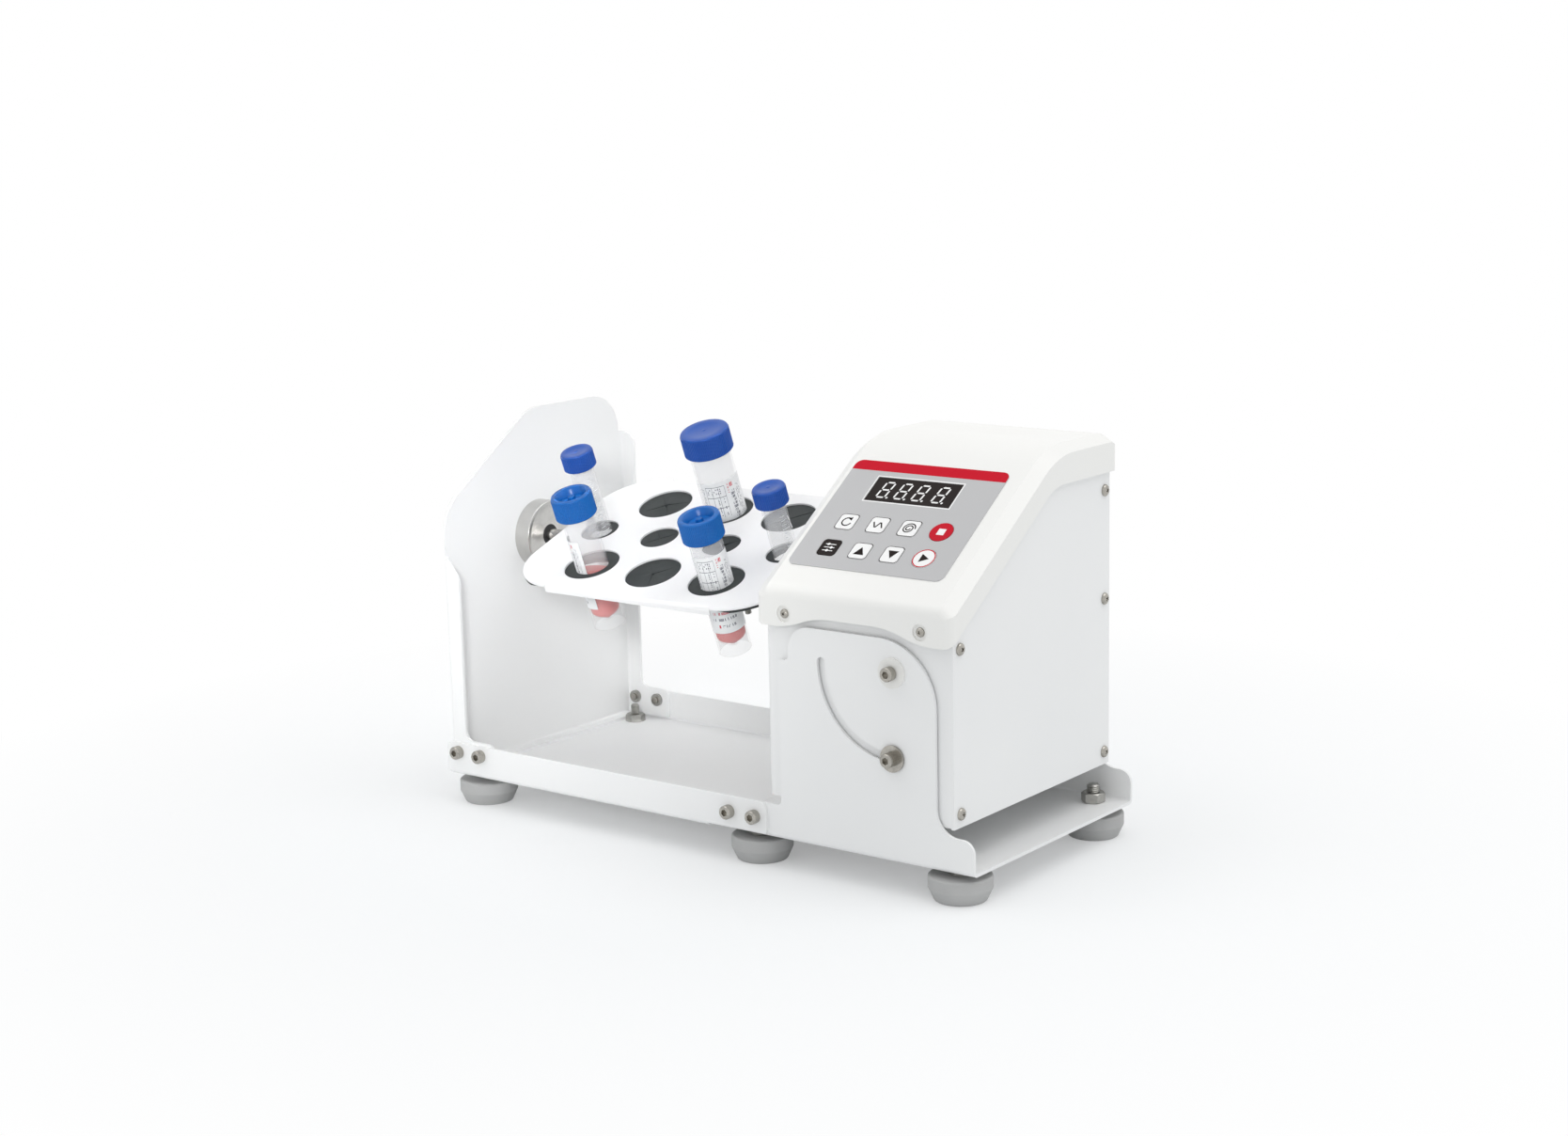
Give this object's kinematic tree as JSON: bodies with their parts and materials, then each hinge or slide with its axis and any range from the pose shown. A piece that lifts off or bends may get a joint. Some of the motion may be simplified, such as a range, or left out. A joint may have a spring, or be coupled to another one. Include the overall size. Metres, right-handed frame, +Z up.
{
  "type": "tube rotator",
  "caption": "Bench tube rotator: a tilting drive head and a tail post turn a pierced plate whose rubber-lined holes grip capped laboratory tubes.",
  "frame": {"origin": "on the bench, under the middle of the machine's overall box", "axes": "+X towards the drive head's side, +Y from the control panel towards the back, +Z up"},
  "size_m": [0.412, 0.196, 0.252],
  "materials": {
    "white_sheet": "satin powder coat",
    "zinc": "zinc plated",
    "nickel": "nickel plated",
    "turned_steel": "turned",
    "foot_rubber": "matt",
    "nylon": "matt",
    "seal_rubber": "matt",
    "cover_plastic": "satin",
    "overlay_film": "satin",
    "key_white": "satin",
    "key_black": "satin",
    "key_red": "satin",
    "board": "solder mask",
    "display": "gloss",
    "motor_black": "satin",
    "supply_case": "plain",
    "black_plastic": "satin",
    "rotor_sheet": "satin powder coat",
    "grip_rubber": "matt",
    "block_metal": "machined",
    "clear_tube": "clear",
    "cap_blue": "satin",
    "cap_bright": "satin"
  },
  "bodies": {
    "base": {"base_bracket": "white_sheet", "tail_tray": "white_sheet", "end_plate": "white_sheet", "bearing_hub": "turned_steel", "hub_bearing": "turned_steel", "shaft_seal": "seal_rubber", "hub_screws": "zinc", "rubber_feet": "foot_rubber", "foot_bolts": "zinc", "foot_nuts": "zinc", "tray_screws": "nickel", "clinch_nuts": "zinc", "pivot_bushes": "nylon"},
    "head": {"head_chassis": "white_sheet", "side_panel": "white_sheet", "panel_screws": "nickel", "top_cover": "cover_plastic", "cover_screws": "nickel", "control_overlay": "overlay_film", "circuit_board": "board", "display_module": "display", "drive_motor": "motor_black", "motor_standoffs": "block_metal", "motor_screws": "zinc", "output_bearing": "turned_steel", "power_supply": "supply_case", "power_inlet": "black_plastic", "switch_frame": "black_plastic", "pivot_screws": "nickel", "clamp_screws": "nickel", "clamp_washers": "nickel"},
    "rotor": {"rotor_top_plate": "rotor_sheet", "rotor_rubber": "grip_rubber", "rotor_back_plate": "rotor_sheet", "rotor_studs": "zinc", "drive_block": "block_metal", "drive_set_screw": "zinc", "cradle_block": "block_metal", "output_shaft": "turned_steel"},
    "spindle": {"tail_spindle": "turned_steel"},
    "key_1": {"key_1": "key_white"},
    "key_2": {"key_2": "key_white"},
    "key_3": {"key_3": "key_white"},
    "key_4": {"key_4": "key_red"},
    "key_5": {"key_5": "key_black"},
    "key_6": {"key_6": "key_white"},
    "key_7": {"key_7": "key_white"},
    "key_8": {"key_8": "key_white"},
    "rocker": {"switch_rocker": "black_plastic"},
    "tube_1": {"tube_1": "clear_tube"},
    "tube_2": {"tube_2": "clear_tube"},
    "tube_3": {"tube_3": "clear_tube"},
    "tube_4": {"tube_4": "clear_tube"},
    "tube_5": {"tube_5": "clear_tube"},
    "cap_1": {"tube_cap_1": "cap_blue"},
    "cap_2": {"tube_cap_2": "cap_bright"},
    "cap_3": {"tube_cap_3": "cap_blue"},
    "cap_4": {"tube_cap_4": "cap_bright"},
    "cap_5": {"tube_cap_5": "cap_blue"}
  },
  "joints": [
    {"name": "head_tilt", "type": "hinge", "parent": "base", "child": "head", "pos_m": [0.1512, 0, 0.132], "axis": [0, 1, 0], "range_deg": [0, 70]},
    {"name": "rotor_spin", "type": "hinge", "parent": "head", "child": "rotor", "pos_m": [-0.067, 0, 0.166], "axis": [1, 0, 0], "continuous": true},
    {"name": "spindle_spin", "type": "hinge", "parent": "base", "child": "spindle", "pos_m": [-0.19, 0, 0.166], "axis": [1, 0, 0], "continuous": true},
    {"name": "key_1_press", "type": "slide", "parent": "head", "child": "key_1", "axis": [0, 0.5664, -0.8241], "range_m": [0, 0.0004], "stiffness_N_per_m": 2000},
    {"name": "key_2_press", "type": "slide", "parent": "head", "child": "key_2", "axis": [0, 0.5664, -0.8241], "range_m": [0, 0.0004], "stiffness_N_per_m": 2000},
    {"name": "key_3_press", "type": "slide", "parent": "head", "child": "key_3", "axis": [0, 0.5664, -0.8241], "range_m": [0, 0.0004], "stiffness_N_per_m": 2000},
    {"name": "key_4_press", "type": "slide", "parent": "head", "child": "key_4", "axis": [0, 0.5664, -0.8241], "range_m": [0, 0.0004], "stiffness_N_per_m": 2000},
    {"name": "key_5_press", "type": "slide", "parent": "head", "child": "key_5", "axis": [0, 0.5664, -0.8241], "range_m": [0, 0.0004], "stiffness_N_per_m": 2000},
    {"name": "key_6_press", "type": "slide", "parent": "head", "child": "key_6", "axis": [0, 0.5664, -0.8241], "range_m": [0, 0.0004], "stiffness_N_per_m": 2000},
    {"name": "key_7_press", "type": "slide", "parent": "head", "child": "key_7", "axis": [0, 0.5664, -0.8241], "range_m": [0, 0.0004], "stiffness_N_per_m": 2000},
    {"name": "key_8_press", "type": "slide", "parent": "head", "child": "key_8", "axis": [0, 0.5664, -0.8241], "range_m": [0, 0.0004], "stiffness_N_per_m": 2000},
    {"name": "power_rocker", "type": "hinge", "parent": "head", "child": "rocker", "pos_m": [0.15, 0.087, 0.187], "axis": [0, 0, 1], "range_deg": [0, 20]},
    {"name": "tube_1_lift", "type": "slide", "parent": "rotor", "child": "tube_1", "axis": [0, -0.3502, 0.9367], "range_m": [0, 0.11]},
    {"name": "tube_2_lift", "type": "slide", "parent": "rotor", "child": "tube_2", "axis": [0, -0.3502, 0.9367], "range_m": [0, 0.11]},
    {"name": "tube_3_lift", "type": "slide", "parent": "rotor", "child": "tube_3", "axis": [0, -0.3502, 0.9367], "range_m": [0, 0.11]},
    {"name": "tube_4_lift", "type": "slide", "parent": "rotor", "child": "tube_4", "axis": [0, -0.3502, 0.9367], "range_m": [0, 0.11]},
    {"name": "tube_5_lift", "type": "slide", "parent": "rotor", "child": "tube_5", "axis": [0, -0.3502, 0.9367], "range_m": [0, 0.11]},
    {"name": "cap_1_turn", "type": "hinge", "parent": "tube_1", "child": "cap_1", "pos_m": [-0.14425, -0.02045, 0.2207], "axis": [0, -0.3502, 0.9367], "range_deg": [0, 360]},
    {"name": "cap_2_turn", "type": "hinge", "parent": "tube_2", "child": "cap_2", "pos_m": [-0.1185, -0.05829, 0.20655], "axis": [0, -0.3502, 0.9367], "range_deg": [0, 360]},
    {"name": "cap_3_turn", "type": "hinge", "parent": "tube_3", "child": "cap_3", "pos_m": [-0.067, 0.01739, 0.23485], "axis": [0, -0.3502, 0.9367], "range_deg": [0, 360]},
    {"name": "cap_4_turn", "type": "hinge", "parent": "tube_4", "child": "cap_4", "pos_m": [-0.0155, -0.05829, 0.20655], "axis": [0, -0.3502, 0.9367], "range_deg": [0, 360]},
    {"name": "cap_5_turn", "type": "hinge", "parent": "tube_5", "child": "cap_5", "pos_m": [0.01025, -0.02045, 0.2207], "axis": [0, -0.3502, 0.9367], "range_deg": [0, 360]}
  ],
  "couplings": [
    {"joint": "spindle_spin", "follows": "rotor_spin", "ratio": 1}
  ]
}
